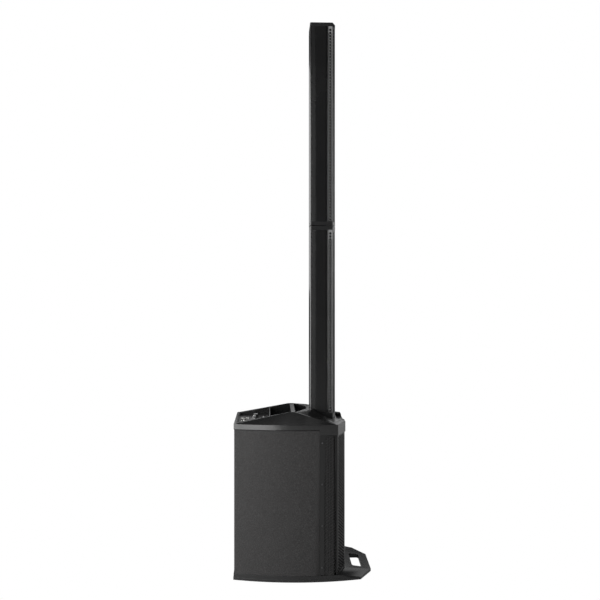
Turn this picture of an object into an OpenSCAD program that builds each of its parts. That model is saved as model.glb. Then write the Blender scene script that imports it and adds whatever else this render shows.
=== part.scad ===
// Column PA system: a ported subwoofer with a mixer let into its top cap, and a loudspeaker column of
// two modules that plug into the cap. Millimetres, +Z up, the front is -Y, the left side is -X.
// The origin is on the floor, under the middle of the base plate.

/* [Overall] */
// Height of the whole system, from the floor to the top of the column
total_h = 2000; // [1800:10:2200]
// Length of the upper column module, without its spigot
upper_len = 742; // [640:2:820]

/* [Base plate] */
// Width across the bowed sides, at their widest
base_w = 366; // [330:2:420]
// Length from the rear edge to the tip of the front foot
base_len = 494; // [470:2:540]
// Radius of the bowed sides
side_r = 845; // [700:5:1200]
// Thickness of the plate under the cabinet
plate_t = 21.5; // [16:0.5:28]
// Thickness of the plate at its outer edge
plate_edge_t = 9; // [7:0.5:12]
// Width of the straight edge at the tip of the front foot
tip_w = 156; // [130:2:180]
// Length of the cut corners of the front foot
tip_cut = 46; // [30:1:60]
// Width of the hand hole through the front foot
hand_w = 130; // [110:2:140]
// Length of the hand hole, front to back
hand_d = 36; // [30:1:44]
// Height that the rubber feet stand out under the plate
foot_h = 2.5; // [2:0.5:5]

/* [Cabinet] */
// Height of the plywood cabinet
cab_h = 505; // [460:5:560]
// Depth of the cabinet with its grille
cab_d = 395; // [370:1:410]
// Thickness of the plywood
ply = 15; // [12:0.5:18]
// How far the cabinet sits in from the base plate's edge
lip = 3; // [2:0.5:5]
// Width of the flat front of the grille
nose_w = 188; // [170:2:210]
// How far the flat front stands ahead of the side corners
nose_d = 33; // [26:1:40]
// Depth of the grille's flange along each side
flange_d = 63; // [54:1:74]

/* [Woofer] */
// Outer radius of the woofer's frame
woofer_r = 154; // [140:1:156]
// Radius of the two port tubes, inside
port_r = 36; // [28:1:38]
// Length of the port tubes
port_len = 150; // [100:5:190]

/* [Top cap] */
// Height of the upright band round the cap
band_h = 20; // [16:1:26]
// Height of the crest above the band
crest_h = 37; // [30:1:44]
// Width of the recess for the mixer and the handle
recess_w = 232; // [220:2:244]
// Thickness of the moulded walls
wall = 3; // [2.5:0.5:4]
// Width of the handle bar, front to back
bar_d = 16; // [12:1:18]

/* [Column] */
// Width of the column
col_w = 100; // [92:1:110]
// Depth of the column, front to back
col_d = 94; // [84:1:98]
// Distance from the cabinet's flat front to the column's front
col_setback = 29; // [28:1:40]
// Depth of the spigot under each module
spigot_h = 42; // [32:1:48]
// Number of drivers in each module
drivers = 6; // [4:1:6]
// Gap between the spigot and its socket, all round
slip = 0.4; // [0.3:0.1:0.8]

/* [Mixer] */
// Radius of a channel knob
knob_r = 8; // [6:0.5:9]
// Height of a channel knob
knob_h = 13; // [10:0.5:16]
// Radius of a 6.35 mm jack's hole
jack_r = 3.25; // [3.2:0.05:3.4]

/* [Hidden] */
$fn = 48;
eps = 0.01;
bow_fn = 240;              // segments of the bowed sides, where a hull turns them into facets
gap = 0.3;                 // clearance between curved faces of neighbouring pieces

// Levels
plate_z = foot_h;
plate_top = plate_z + plate_t;
cab_top = plate_top + cab_h;
band_top = cab_top + band_h;
crest_z = band_top + crest_h;
panel_z = band_top - 8;     // the mixer panel's top face
seat_z = band_top + 3;      // where the column's lower end stands
joint_gap = 2.5;            // shadow gap between the two modules
upper_z = total_h - upper_len;
lower_top = upper_z - joint_gap;

// Front-to-back places
plate_rear = base_len / 2;
plate_tip = -base_len / 2;
cab_rear = plate_rear - lip;
cab_front = cab_rear - cab_d;
corner_y = cab_front + nose_d;
flange_y = corner_y + flange_d;
hand_y = cab_front - 29 - hand_d / 2;
baffle_y = corner_y + 8;                     // the baffle's front face
col_front = cab_front + col_setback;
col_rear = col_front + col_d;
col_split = col_front + 27;                  // where the column's grille meets its housing
baffle_back = col_split + 6;                 // the rear of the column's baffles
skin = 2.2;                                  // wall of the column's housing
recess_rear = cab_rear - 10;
mixer_front = recess_rear - 113;
well_front = col_rear + 13;
crest_rear = cab_rear - 195;
bar_y = crest_rear - 14;
rib_front = bar_y + 55;      // two ribs stiffen the recess's sides, from the mixer's front edge to here

// Half width of the bowed side at y, inset by i
function side_x(y, i) = sqrt(pow(side_r - i, 2) - y * y) - (side_r - base_w / 2);

// Plan of the bowed body: two arcs, a straight rear and a front of one flat and two slanting faces
module bow_plan(i, rear, corner, flat, flat_w) {
    far = 2 * base_w;
    half_c = side_x(corner, i);
    slope = (corner - flat) / (half_c - flat_w / 2);
    out = 40;
    intersection() {
        translate([side_r - base_w / 2, 0]) circle(r = side_r - i, $fn = bow_fn);
        translate([base_w / 2 - side_r, 0]) circle(r = side_r - i, $fn = bow_fn);
        polygon([[-far, rear], [-far, corner + slope * out], [-half_c - out, corner + slope * out],
            [-flat_w / 2, flat], [flat_w / 2, flat], [half_c + out, corner + slope * out],
            [far, corner + slope * out], [far, rear]]);
    }
}
module plate_plan(i) bow_plan(i, plate_rear - i, plate_tip + tip_cut, plate_tip + i, tip_w - i);
module cab_plan(i) bow_plan(lip + i, cab_rear - i, corner_y + i, cab_front + i, nose_w - i);
module keep_behind(y) translate([-base_w, y]) square([2 * base_w, base_len]);
module keep_ahead(y) translate([-base_w, y - base_len]) square([2 * base_w, base_len]);
module slab(z, t = eps) translate([0, 0, z]) linear_extrude(t) children();
module block(x, y, z, at) translate(at) cube([x, y, z], center = true);
module rod(r, h, at, rot = [0, 0, 0]) translate(at) rotate(rot) cylinder(r = r, h = h, center = true);
module mirror_x() {
    children();
    mirror([1, 0, 0]) children();
}

// ---- Base plate and feet -------------------------------------------------------------------------
foot_r = 16;
foot_in = 3.5;              // how deep the feet sit in their pockets
foot_at = [[-118, plate_rear - 32], [118, plate_rear - 32], [-152, -10], [152, -10],
    [-112, plate_tip + 62], [112, plate_tip + 62]];

module hand_plan(i) {
    r = 9 + i;
    w = hand_w / 2 + i - r;
    d = hand_d / 2 + i - r;
    translate([0, hand_y]) {
        square([2 * w + 2 * r, 2 * d], center = true);
        square([2 * w, 2 * d + 2 * r], center = true);
        for (x = [-w, w], y = [-d, d]) translate([x, y]) circle(r = r);
    }
}

module base_plate() color([0.07, 0.07, 0.075]) difference() {
    union() {
        slab(plate_z, plate_edge_t) plate_plan(0);
        hull() {
            slab(plate_z + plate_edge_t - 0.5) plate_plan(0.8);
            slab(plate_top - eps) cab_plan(1 - lip);
        }
    }
    slab(-1, plate_top + 5) hand_plan(0);
    for (p = foot_at) {
        translate([p.x, p.y, -1]) cylinder(r = foot_r + 0.2, h = plate_z + foot_in + 1);
        translate([p.x, p.y, -1]) cylinder(r = 1.8, h = plate_z + foot_in + 6);
    }
}

module rubber_feet() color([0.05, 0.05, 0.05]) for (p = foot_at) translate([p.x, p.y, 0]) difference() {
    cylinder(r = foot_r, h = foot_h + foot_in);
    translate([0, 0, -1]) cylinder(r = 4.5, h = foot_h + 1.5);
    cylinder(r = 2.2, h = 20);
}

module foot_screws() color([0.3, 0.3, 0.32]) for (p = foot_at) translate([p.x, p.y, 0]) {
    translate([0, 0, foot_h - 1.9]) cylinder(r = 3.8, h = 2.4);
    translate([0, 0, foot_h]) cylinder(r = 1.75, h = foot_in + 3);
}

// ---- Cabinet -------------------------------------------------------------------------------------
grille_t = 1.6;
grille_in = 0.4;             // how far the grille lies below the cabinet's sides
rebate = grille_t + grille_in + 0.2;
amp_w = 220;
amp_h = 290;
amp_z = plate_top + cab_h / 2 - 20;
amp_y = cab_rear - 10;       // outer face of the amplifier panel
amp_t = 2.5;

module cabinet_shell() color([0.13, 0.13, 0.13]) difference() {
    slab(plate_top, cab_h) difference() {
        intersection() {
            cab_plan(0);
            union() {
                keep_behind(flange_y);
                intersection() {
                    bow_plan(lip + rebate, cab_rear, corner_y + 4, cab_front + 4, nose_w);
                    keep_behind(baffle_y + 4);
                }
            }
        }
        bow_plan(lip + ply, cab_rear - ply, corner_y - 60, cab_front - 90, nose_w);
    }
    at_grille_screws() cylinder(r = 1.7, h = 25, center = true);
    // window for the amplifier, with a rebate for its panel
    block(amp_w - 14, 2 * ply + 20, amp_h - 14, [0, cab_rear, amp_z]);
    block(amp_w + 0.6, 2 * (cab_rear - amp_y + amp_t), amp_h + 0.6, [0, cab_rear, amp_z]);
}

inner = gap;                 // clearance of the boards inside the shell
module board_plan() intersection() {
    bow_plan(lip + ply + inner, cab_rear - ply - inner, corner_y - 60, cab_front - 90, nose_w);
    keep_behind(baffle_y + 18 + inner);
}

module cabinet_floor() color([0.5, 0.4, 0.28]) slab(plate_top, ply) board_plan();

tub_y = (recess_rear + mixer_front) / 2;
tub_w = recess_w - 18;
tub_d = 2 * (cab_rear - ply - 3 - tub_y);
sock_wall = 2.5;
sock_in_w = col_w - 30;      // inside of the sockets, which stand behind the column's baffles
sock_in_d = col_rear - skin - baffle_back - 2 * sock_wall - 6;
sock_y = (col_rear - skin + baffle_back) / 2;
sock_w = sock_in_w + 2 * sock_wall;
sock_d = sock_in_d + 2 * sock_wall;
sock_floor = seat_z - 0.2 - spigot_h - 8;

module cabinet_roof() color([0.5, 0.4, 0.28]) difference() {
    slab(cab_top - ply, ply) board_plan();
    block(tub_w + 2, tub_d + 2, 4 * ply, [0, tub_y, cab_top]);
    block(sock_w + 2, sock_d + 2, 4 * ply, [0, sock_y, cab_top]);
}

woofer_z = sock_floor - woofer_r - 6;
port_rim = 9;                // width of the port tubes' rims, round the inside of the tubes
under_woofer = woofer_z - woofer_r - plate_top - ply;
port_z = plate_top + ply + port_r + port_rim + 1 + under_woofer / 12.4;
// The ports stand wider apart where a low cabinet leaves them beside the woofer
port_x = max(woofer_r * 0.56, sqrt(max(0, pow(woofer_r + port_r + port_rim + 1, 2) - pow(woofer_z - port_z, 2))));

module baffle_board() color([0.16, 0.14, 0.12]) difference() {
    slab(plate_top, cab_h) intersection() {
        bow_plan(lip + ply + inner, cab_rear, corner_y - 60, cab_front - 90, nose_w);
        translate([-base_w, baffle_y]) square([2 * base_w, 18]);
    }
    translate([0, 0, woofer_z]) rotate([90, 0, 0]) cylinder(r = woofer_r - 14, h = 900, center = true, $fn = 96);
    mirror_x() rod(port_r + 2.8, 900, [port_x, 0, port_z], [90, 0, 0]);
    block(sock_w + 2, 200, 2 * (cab_top - sock_floor + 1), [0, baffle_y, cab_top]);
    at_woofer_screws() rod(2.5, 60, [0, 0, 0], [90, 0, 0]);
}

module port_tube() difference() {
    union() {
        translate([port_x, baffle_y + port_len, port_z]) rotate([90, 0, 0]) cylinder(r = port_r + 2.5, h = port_len);
        translate([port_x, baffle_y, port_z]) rotate([90, 0, 0]) cylinder(r = port_r + port_rim, h = 3);
    }
    translate([port_x, baffle_y, port_z]) rotate([90, 0, 0]) cylinder(r = port_r, h = 3 * port_len, center = true);
}
module port_tubes() color([0.05, 0.05, 0.05]) mirror_x() port_tube();

grille_z0 = plate_top + 1;
grille_z1 = cab_top - 17;    // the cap's fascia hangs down in front of the grille, to here
module grille_band(i, t) difference() {
    bow_plan(lip + i, cab_rear, corner_y + i, cab_front + i, nose_w - i);
    bow_plan(lip + i + t, cab_rear + 9, corner_y + i + t, cab_front + i + t, nose_w - i - t);
    keep_behind(flange_y - 0.6);
}
module sub_grille() color([0.06, 0.06, 0.06]) difference() {
    slab(grille_z0, grille_z1 - grille_z0) grille_band(grille_in, grille_t);
    at_grille_screws() cylinder(r = 2, h = 40, center = true);
}
module grille_foam() color([0.04, 0.04, 0.04]) slab(grille_z0 + 6, grille_z1 - grille_z0 - 12) intersection() {
    grille_band(grille_in + grille_t + 0.3, 5);
    keep_ahead(baffle_y - 4);
}

screw_y = flange_y - 11;
screw_z = [for (k = [0 : 3]) grille_z0 + 26 + k * (grille_z1 - grille_z0 - 52) / 3];
// Stands a piece on the grille's flange at each screw, square to the bowed side
module at_grille_screws() mirror_x() for (z = screw_z) translate([base_w / 2 - side_r, 0, z])
    rotate([0, 0, asin(screw_y / side_r)]) translate([side_r - lip - grille_in, 0, 0]) rotate([0, 90, 0]) children();
module grille_screws() color([0.25, 0.25, 0.26]) at_grille_screws() {
    translate([0, 0, 0.05]) cylinder(r = 3.4, h = 1.6);
    translate([0, 0, -12]) cylinder(r = 1.6, h = 12.2);
}

// ---- Woofer, on the baffle's front, its axis along Y ---------------------------------------------
cone_r = woofer_r - 26;
coil_r = 38;
cone_d = 62;                 // depth of the cone
frame_y = baffle_y;          // the frame's rim stands on the baffle's front face
roll_y = -1.5;               // where the surround's roll stands, on the rim's ledge and on the cone
magnet_r = 88;
magnet_y = frame_y + 92;

module at_woofer_screws() for (k = [0 : 7]) translate([0, frame_y, woofer_z]) rotate([0, 45 * k + 22.5, 0])
    translate([0, 0, woofer_r - 6.5]) children();

// Turns a section drawn as [radius, distance behind the baffle's front] round the woofer's axis
module woofer_turn() translate([0, frame_y, woofer_z]) rotate([-90, 0, 0]) rotate_extrude($fn = 72) children();

module woofer_basket() color([0.12, 0.12, 0.12]) difference() {
    woofer_turn() union() {
        polygon([[woofer_r - 11, -5], [woofer_r, -5], [woofer_r, 0], [woofer_r - 15, 0], [woofer_r - 15, 16],
            [magnet_r - 6, 84], [magnet_r - 6, 88], [coil_r + 16, 88], [coil_r + 16, 84], [magnet_r - 10, 84],
            [woofer_r - 19, 14], [woofer_r - 19, roll_y], [woofer_r - 11, roll_y]]);
    }
    for (k = [0 : 5]) translate([0, frame_y + 46, woofer_z]) rotate([0, 60 * k + 30, 0])
        block(46, 56, 120, [0, 0, woofer_r - 34]);
    at_woofer_screws() rod(2.6, 40, [0, 0, 0], [90, 0, 0]);
}
module woofer_magnet() color([0.2, 0.2, 0.21]) woofer_turn() difference() {
    translate([0, 88]) square([magnet_r, 42]);
    translate([coil_r - 3, 87]) square([6, 34]);
}
module woofer_cone() color([0.07, 0.07, 0.07]) woofer_turn()
    polygon([[cone_r, 3], [cone_r, 5.5], [coil_r + 2, cone_d + 3.5], [coil_r + 2, cone_d], [cone_r - 3, 3]]);
module woofer_dust_cap() color([0.06, 0.06, 0.06]) woofer_turn() intersection() {
    difference() {
        translate([0, 80]) circle(r = 74, $fn = 96);
        translate([0, 80]) circle(r = 72.6, $fn = 96);
    }
    square([coil_r + 12, cone_d - 12.3]);
}
module woofer_surround() color([0.05, 0.05, 0.05]) woofer_turn() union() {
    difference() {
        translate([cone_r + 5.7, roll_y]) circle(r = 7.6);
        translate([cone_r + 5.7, roll_y]) circle(r = 6);
        translate([cone_r - 8, roll_y]) square([30, 12]);
    }
    translate([cone_r - 1.9, roll_y]) square([1.6, 1.5 - roll_y]);
    translate([cone_r - 8, 1.4]) square([7.7, 1.5]);
}
module woofer_spider() color([0.45, 0.33, 0.16]) woofer_turn() difference() {
    translate([coil_r + 2.4, 76]) square([30, 4]);
    for (k = [0 : 3]) {
        translate([coil_r + 6 + 6.6 * k, 76]) circle(r = 2.2);
        translate([coil_r + 9.3 + 6.6 * k, 80]) circle(r = 2.2);
    }
}
module woofer_voice_coil() color([0.6, 0.35, 0.15]) woofer_turn() translate([coil_r - 0.9, cone_d + 4])
    square([1.8, 42]);
module woofer_screws() color([0.1, 0.1, 0.1]) at_woofer_screws() {
    rod(4.4, 3, [0, -6.5, 0], [90, 0, 0]);
    rod(2.4, 16, [0, 3 - eps, 0], [90, 0, 0]);
}

// ---- Amplifier, let into the cabinet's rear -------------------------------------------------------
sink_w = 170;
sink_h = 120;
sink_z = amp_z + 52;
inlet_at = [-58, amp_z - 92];
rocker_at = [4, amp_z - 92];
rocker_w = 24;
rocker_h = 30;
rocker_in = 4;               // depth of the rocker's axle below the panel's face
axle_r = 1.6;

module amplifier_panel() color([0.1, 0.1, 0.105]) difference() {
    block(amp_w, amp_t, amp_h, [0, amp_y - amp_t / 2, amp_z]);
    block(sink_w - 12, 20, sink_h - 12, [0, amp_y, sink_z]);
    block(40.5, 20, 27.5, [inlet_at.x, amp_y, inlet_at.y]);
    block(rocker_w + 2.4, 20, rocker_h + 2.4, [rocker_at.x, amp_y, rocker_at.y]);
    for (x = [-1, 1], z = [-1, 1]) rod(2.3, 20, [x * (amp_w / 2 - 9.5), amp_y, amp_z + z * (amp_h / 2 - 9.5)], [90, 0, 0]);
}
module heat_sink() color([0.14, 0.14, 0.15]) {
    block(sink_w, 5, sink_h, [0, amp_y - amp_t - 2.5, sink_z]);
    for (k = [-7 : 7]) block(2.4, 11.4, sink_h - 16, [k * 10, amp_y - amp_t + 5.6, sink_z]);
}
module amplifier_board() color([0.05, 0.22, 0.1]) {
    block(sink_w - 10, 1.6, sink_h + 60, [0, amp_y - amp_t - 30, sink_z - 20]);
    for (k = [-1 : 1]) rod(11, 28, [k * 44, amp_y - amp_t - 44.8, sink_z + 10], [90, 0, 0]);
    block(54, 36, 44, [18, amp_y - amp_t - 48.8, sink_z - 66]);
    mirror_x() for (z = [-40, 40]) rod(3, 24.2, [sink_w / 2 - 12, amp_y - amp_t - 17.1, sink_z + z], [90, 0, 0]);
}
module mains_inlet() color([0.04, 0.04, 0.04]) translate([inlet_at.x, amp_y, inlet_at.y]) {
    difference() {
        union() {
            block(50, 2.5, 33, [0, 1.25, 0]);
            block(39.5, 26, 26.5, [0, -13 + eps, 0]);
        }
        block(26, 38, 18, [0, -2, 0]);
        mirror_x() rod(1.7, 20, [21.6, 0, 0], [90, 0, 0]);
    }
    for (p = [[-7, -2], [7, -2], [0, 3.5]]) block(2.2, 16, 4.5, [p.x, -13.5, p.y]);
}
module rocker_frame() color([0.05, 0.05, 0.05]) translate([rocker_at.x, amp_y, rocker_at.y]) difference() {
    union() {
        block(rocker_w + 7, 2, rocker_h + 7, [0, 1, 0]);
        block(rocker_w + 1.6, 20, rocker_h + 1.6, [0, -10 + eps, 0]);
    }
    block(rocker_w - 2.4, 36, rocker_h - 2.4, [0, 2, 0]);
    rod(axle_r + 0.05, 60, [0, -rocker_in, 0], [0, 90, 0]);
}
// Two slanting faces that meet at the pivot; it rests tipped on its lower stop
rocker_tip = 8;
module power_rocker() color([0.3, 0.05, 0.04]) translate([rocker_at.x, amp_y - rocker_in, rocker_at.y]) {
    rotate([-rocker_tip, 0, 0]) rotate([0, -90, 0]) linear_extrude(rocker_w - 3.4, center = true)
        polygon([[-12, -5], [12, -5], [12, 7], [0, 4.2], [-12, 7]]);
    rod(axle_r, rocker_w + 0.4, [0, 0, 0], [0, 90, 0]);
}
module amplifier_screws() color([0.3, 0.3, 0.31])
    for (x = [-1, 1], z = [-1, 1]) translate([x * (amp_w / 2 - 9.5), amp_y, amp_z + z * (amp_h / 2 - 9.5)]) {
        rod(4.2, 2, [0, 1, 0], [90, 0, 0]);
        rod(2, 2, [0, -0.6, 0], [90, 0, 0]);
    }

// ---- Top cap -------------------------------------------------------------------------------------
cap_i = 1 - lip;              // the cap stands a little proud of the cabinet
shadow_h = 2.4;               // height and depth of the shadow gap under the band
shadow_d = 2.5;
channel_z = band_top - 7;     // floor of the channel in front of the column
crest_half = recess_w / 2 + 2;
ledge_y = col_front + 20;

module crest_plan(i) {
    side = crest_half - i;
    knee = col_w / 2 + 40 - i;
    neck = col_w / 2 + 12 - i;
    polygon([[-side, crest_rear], [-side, crest_rear - 18], [-knee, col_rear + 9], [-neck, col_rear - 11 + i],
        [neck, col_rear - 11 + i], [knee, col_rear + 9], [side, crest_rear - 18], [side, crest_rear]]);
}

module recess_plan(i) {
    w = recess_w / 2 + i;
    polygon([[-w, recess_rear + i], [-w, bar_y - bar_d / 2], [-32 - i, well_front - i], [32 + i, well_front - i],
        [w, bar_y - bar_d / 2], [w, recess_rear + i]]);
}

// The recess with the two ribs left standing on its sides
rib = 3;
module bay_plan() difference() {
    recess_plan(0);
    mirror_x() translate([recess_w / 2 - rib, rib_front]) square([2 * rib, mixer_front - 0.4 - rib_front]);
}

// Plan of the column: rear corners cut at 45 degrees, and a front like the subwoofer's
corner_cut = 3;
nose_half = 22;              // half width of the flat front
module col_plan(i) {
    h = col_w / 2 - i;
    cut = corner_cut - 0.6 * i;
    polygon([[-h + cut, col_rear - i], [-h, col_rear - cut - i], [-h, col_front + 11 + i],
        [-nose_half, col_front + i], [nose_half, col_front + i], [h, col_front + 11 + i],
        [h, col_rear - cut - i], [h - cut, col_rear - i]]);
}

module cap_outside() {
    difference() {
        slab(cab_top, band_h) cab_plan(cap_i);
        // a shadow gap over the cabinet's sides and rear, and a shallow groove round the top of the band
        slab(cab_top - 1, 1 + shadow_h) difference() {
            cab_plan(cap_i - 3);
            cab_plan(cap_i + shadow_d);
            keep_ahead(flange_y - 0.6);
        }
        slab(band_top - 1.2, 2) difference() {
            cab_plan(cap_i - 3);
            cab_plan(cap_i + 1.2);
        }
    }
    hull() {
        slab(band_top - 1.3) intersection() {
            cab_plan(cap_i + 1.2);
            keep_behind(corner_y);
        }
        slab(crest_z - eps) crest_plan(0);
    }
    hull() {
        slab(band_top - 1.3) intersection() {
            cab_plan(cap_i + 1.2);
            keep_ahead(ledge_y + 60);
        }
        slab(band_top + 5) polygon([[-nose_w / 2, cab_front + 1], [nose_w / 2, cab_front + 1],
            [side_x(ledge_y, 36), ledge_y], [-side_x(ledge_y, 36), ledge_y]]);
    }
    // fascia hanging in front of the grille
    slab(grille_z1 + 0.6, cab_top - grille_z1) difference() {
        cab_plan(cap_i);
        bow_plan(lip + rebate - 0.2, cab_rear + 9, corner_y + 3.4, cab_front + 3.4, nose_w - 3);
        keep_behind(flange_y - 0.6);
    }
}

module cap_hollow() difference() {
    union() {
        hull() {
            slab(cab_top - 1) intersection() {
                cab_plan(cap_i + 1.2 + wall);
                keep_behind(corner_y + 8);
            }
            slab(crest_z - wall - 1) crest_plan(wall + 2);
        }
        slab(cab_top - 1, channel_z - wall - cab_top + 1) intersection() {
            cab_plan(cap_i + wall);
            keep_ahead(corner_y + 20);
        }
    }
    slab(panel_z - 8 - wall, 100) recess_plan(wall);
    slab(cab_top - 2, 100) translate([-col_w / 2 - 8, col_front - 8]) square([col_w + 16, col_d + 18]);
    // posts that screw down on the cabinet
    for (p = cap_posts) translate([p.x, p.y, cab_top - 2]) cylinder(r = 7, h = 80);
}
cap_posts = [[-140, cab_rear - 60], [140, cab_rear - 60], [-150, 10], [150, 10]];

module top_cap() color([0.09, 0.09, 0.095]) difference() {
    cap_outside();
    cap_hollow();
    // mixer bay: the panel rests on a shelf, and the bay is open below it
    slab(panel_z - 2, 100) intersection() {
        bay_plan();
        keep_behind(mixer_front);
    }
    block(tub_w, tub_d, 200, [0, tub_y, cab_top]);
    // handle well
    slab(panel_z - 8, 100) intersection() {
        bay_plan();
        keep_ahead(mixer_front - 3);
    }
    // seat of the column and the hole for its socket
    slab(seat_z, 100) col_plan(-0.8);
    block(sock_w + 0.4, sock_d + 0.4, 200, [0, sock_y, cab_top]);
    // channel in front of the column
    translate([0, cab_front, 0]) slab(channel_z, 40) polygon([[-75, -10], [75, -10], [75, col_setback - 7],
        [52, col_setback - 3], [-52, col_setback - 3], [-75, col_setback - 7]]);
}

module handle_bar() color([0.06, 0.06, 0.06]) translate([0, bar_y, crest_z - 12]) rotate([0, 90, 0])
    linear_extrude(recess_w - 0.2, center = true) union() {
        translate([-4, 0]) square([12, bar_d], center = true);
        translate([2, 0]) circle(r = bar_d / 2);
    }

module column_socket() color([0.05, 0.05, 0.05]) difference() {
    block(sock_w, sock_d, spigot_h + 8, [0, sock_y, sock_floor + (spigot_h + 8) / 2]);
    block(sock_in_w, sock_in_d, spigot_h + 4, [0, sock_y, seat_z - (spigot_h + 2) / 2 + 2]);
}
module contact_set(z) for (k = [-3 : 3]) rod(1.6, 8, [k * 8, sock_y, z + 4]);
module socket_contacts() color([0.75, 0.6, 0.3]) contact_set(seat_z - spigot_h - 1);

module electronics_tub() color([0.06, 0.06, 0.06]) difference() {
    union() {
        block(tub_w - 0.6, tub_d - 0.6, 52, [0, tub_y, cab_top - 26 + 3.5]);
    }
    block(tub_w - 5, tub_d - 5, 52, [0, tub_y, cab_top - 26 + 6.5]);
}

// ---- Mixer ---------------------------------------------------------------------------------------
panel_t = 2;
row_a = recess_rear - 22;
row_b = row_a - 36;
row_c = row_b - 33;
function across(x) = x * recess_w / 232;      // the controls spread with the recess's width
combo_at = [[across(-88), row_a], [across(-54), row_a]];
line_at = [[across(-24), row_a], [0, row_a]];
link_at = [across(34), row_a];
knob_at = [for (x = [-88, -54, -20, 14]) [across(x), row_b]];
encoder_at = [across(58), row_b - 4];
button_at = [[across(34), row_c], [across(62), row_c]];
display_at = [across(-38), row_c];
screw_at = [for (x = [-1, 1], y = [0, 1]) [x * (recess_w / 2 - 7), y ? recess_rear - 7 : mixer_front + 7]];

module mixer_panel() color([0.12, 0.12, 0.125]) difference() {
    slab(panel_z - panel_t, panel_t) translate([0, tub_y]) square([recess_w - 0.4, recess_rear - mixer_front - 0.4], center = true);
    for (p = concat(combo_at, [link_at])) rod(11.8, 20, [p.x, p.y, panel_z]);
    for (p = line_at) rod(6.2, 20, [p.x, p.y, panel_z]);
    for (p = knob_at) rod(3.6, 20, [p.x, p.y, panel_z]);
    rod(3.6, 20, [encoder_at.x, encoder_at.y, panel_z]);
    for (p = button_at) block(11, 8, 20, [p.x, p.y, panel_z]);
    for (p = screw_at) rod(1.7, 20, [p.x, p.y, panel_z]);
}

jack_flange = 1.6;
latch_y = 9;                 // from a combo jack's middle to its release tab
module jack_body(p, hole_r, hole_d) difference() {
    union() {
        block(26, 30, jack_flange, [p.x, p.y, panel_z + jack_flange / 2]);
        rod(11.5, 26, [p.x, p.y, panel_z - 13 + eps]);
    }
    translate([p.x, p.y, panel_z + jack_flange - hole_d]) cylinder(r = hole_r, h = hole_d + 1);
    children();
}
module combo_jacks() color([0.05, 0.05, 0.05]) for (p = combo_at) jack_body(p, jack_r, 24) {
    for (a = [-50, 180, 50]) rod(1.4, 24, [p.x + 7.2 * sin(a), p.y + 7.2 * cos(a), panel_z]);
    translate([p.x, p.y + latch_y, panel_z + 2]) cube([8.4, 4.2, 9.4], center = true);
}
module latch_tab(p) color([0.6, 0.6, 0.62]) block(7.6, 3.4, 6, [p.x, p.y + latch_y, panel_z + 2.8]);
module line_jacks() color([0.06, 0.06, 0.06]) for (p = line_at) difference() {
    union() {
        translate([p.x, p.y, panel_z]) cylinder(r = 7.6, h = 2.2);
        rod(5.9, 32, [p.x, p.y, panel_z - 16 + eps]);
    }
    translate([p.x, p.y, panel_z + 2.2 - 30]) cylinder(r = jack_r, h = 40);
}
module link_output() color([0.55, 0.55, 0.57]) {
    jack_body(link_at, 9.2, 15);
    for (a = [60, 180, 300]) rod(1.2, 13, [link_at.x + 4.8 * sin(a), link_at.y + 4.8 * cos(a), panel_z - 7.2]);
}
module display_lens() color([0.03, 0.04, 0.06]) block(66, 26, 1.4, [display_at.x, display_at.y, panel_z + 0.7]);

// A turned knob with a pointer line, on a shaft that goes down through the panel
module knob(p, r, h) {
    difference() {
        union() {
            translate([p.x, p.y, panel_z + 0.8]) cylinder(r = r, h = h * 0.35);
            translate([p.x, p.y, panel_z + 0.8]) cylinder(r = r * 0.84, h = h);
        }
        block(1, r, 1.2, [p.x, p.y + r * 0.6, panel_z + 0.8 + h]);
    }
    translate([p.x, p.y, panel_z - 12]) cylinder(r = 3, h = 13.5);
}
module channel_knob(k) color([0.07, 0.07, 0.07]) knob(knob_at[k], knob_r, knob_h);
module menu_encoder() color([0.07, 0.07, 0.07]) knob(encoder_at, knob_r * 1.35, knob_h);
module button(k) color([0.35, 0.35, 0.36]) {
    block(10.2, 7.2, 5.5, [button_at[k].x, button_at[k].y, panel_z + 0.25]);
}
module panel_screws() color([0.3, 0.3, 0.31]) for (p = screw_at) {
    translate([p.x, p.y, panel_z]) cylinder(r = 3, h = 1.4);
    translate([p.x, p.y, panel_z - 1.8]) cylinder(r = 1.4, h = 2);
}

// ---- Column --------------------------------------------------------------------------------------
// Each module runs from z0 to z1: an extruded housing behind, a folded grille ahead, and two end caps.
cap_t = 14;                  // length of an end cap
foot_cap_t = 20;             // the lower module's foot cap also fills the collar
grille_skin = 1.2;

groove_d = 3.6;              // depth of the wide groove beside the grille
line_d = 1.5;                // depth of the two narrow grooves beside the rail
rail_lean = 1.2;             // how far the rail's rear edge lies in from its front edge
module housing_plan() difference() {
    intersection() {
        col_plan(0);
        keep_behind(col_split);
    }
    // hollow inside, narrower beside the wide grooves
    intersection() {
        col_plan(skin);
        keep_behind(col_split + 15);
    }
    translate([0, col_split + 6]) square([col_w - 18, 18 + eps], center = true);
    mirror_x() {
        // two narrow grooves mark off the rail at the rear, whose face leans back a little
        for (g = [[col_rear - 5.2, 3], [col_rear - 19.6, 1.6]])
            translate([col_w / 2, g[0]]) square([2 * line_d, g[1]], center = true);
        translate([col_w / 2, col_rear]) polygon([[0, -19], [-rail_lean, -6], [1, -6], [1, -19]]);
        // one wide groove beside the grille, whose front wall slopes out at 45 degrees
        translate([col_w / 2, col_split + 1]) polygon([[1, 7.8], [-groove_d, 7.8], [-groove_d, groove_d],
            [0, 0], [1, -1]]);
    }
}
module housing(z0, z1) color([0.1, 0.1, 0.105]) slab(z0, z1 - z0) housing_plan();

module grille_plan() difference() {
    intersection() {
        col_plan(0.6);
        keep_ahead(col_split - 0.3);
    }
    col_plan(0.6 + grille_skin);
}
module column_grille(z0, z1) color([0.08, 0.08, 0.08]) slab(z0, z1 - z0) grille_plan();

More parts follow.
